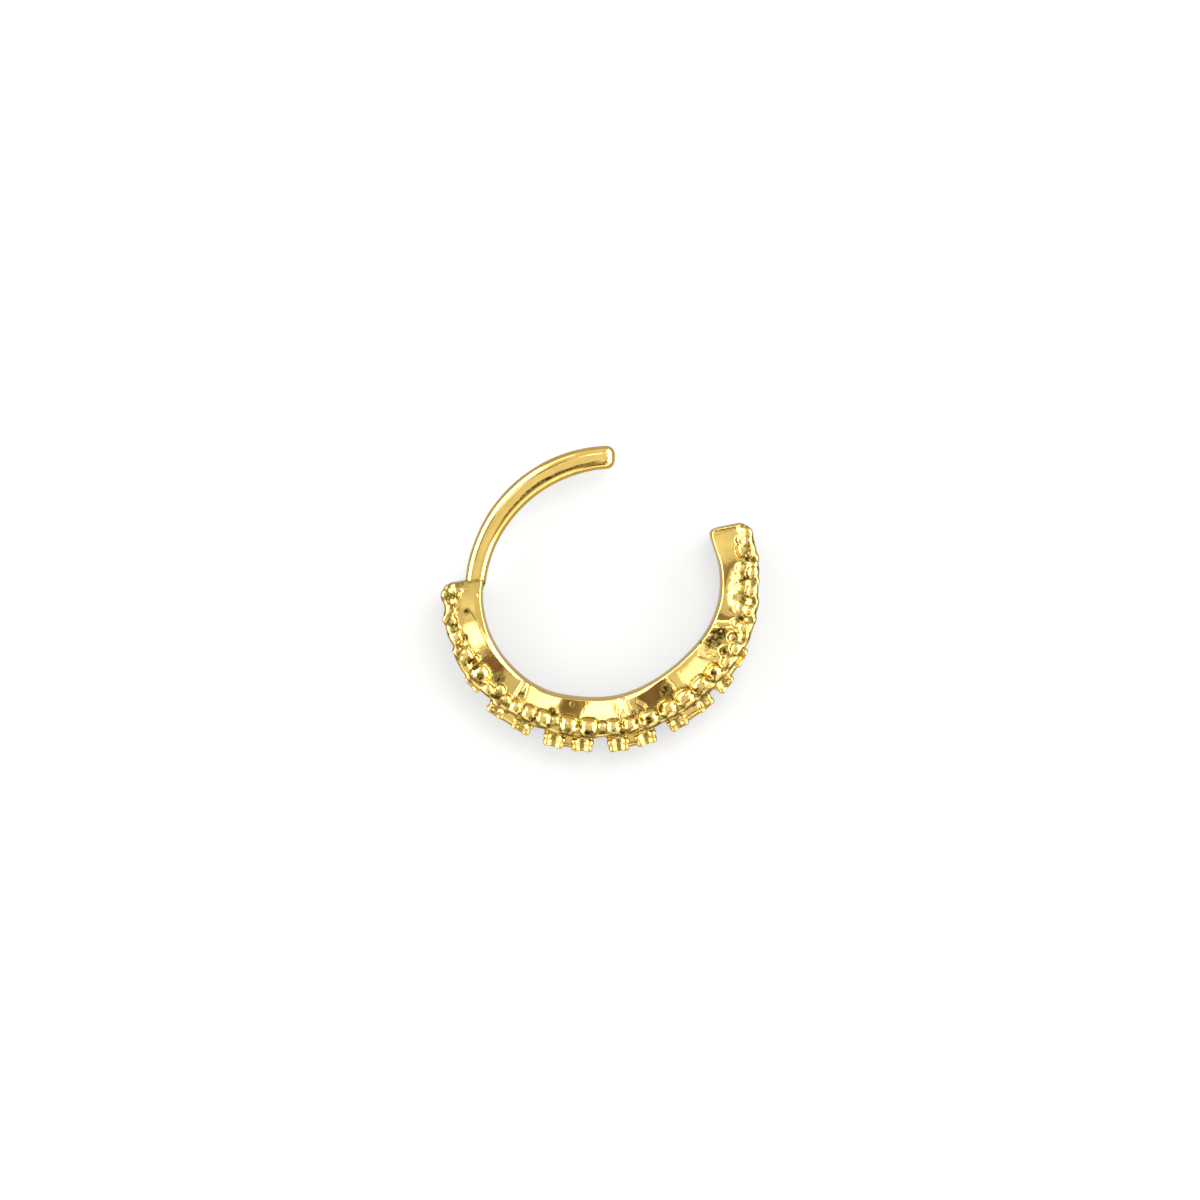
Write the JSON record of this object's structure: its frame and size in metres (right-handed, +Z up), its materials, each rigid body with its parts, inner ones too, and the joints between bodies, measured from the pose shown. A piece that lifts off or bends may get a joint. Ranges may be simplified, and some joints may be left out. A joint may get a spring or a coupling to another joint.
{
  "type": "ear cuff",
  "caption": "Open, one-piece gold-plated ear cuff: crescent band with granulated edges and square claw collets on its back, and a plain round wire arm.",
  "frame": {"origin": "middle of the bounding box in plan, on the plane that the cuff lies on", "axes": "+Z up along the axis of the ring, which lies on its side; +Y from the middle of the decorated band towards the arm's tip; +X towards the free end of the band, with the mouth between +X and +Y"},
  "size_m": [0.0136, 0.013, 0.0027],
  "materials": {
    "gold_plate": "bright yellow gold plating over a cast and tumbled brass body, darker in its crevices"
  },
  "bodies": {
    "root": {"cuff": "gold_plate"}
  },
  "joints": []
}
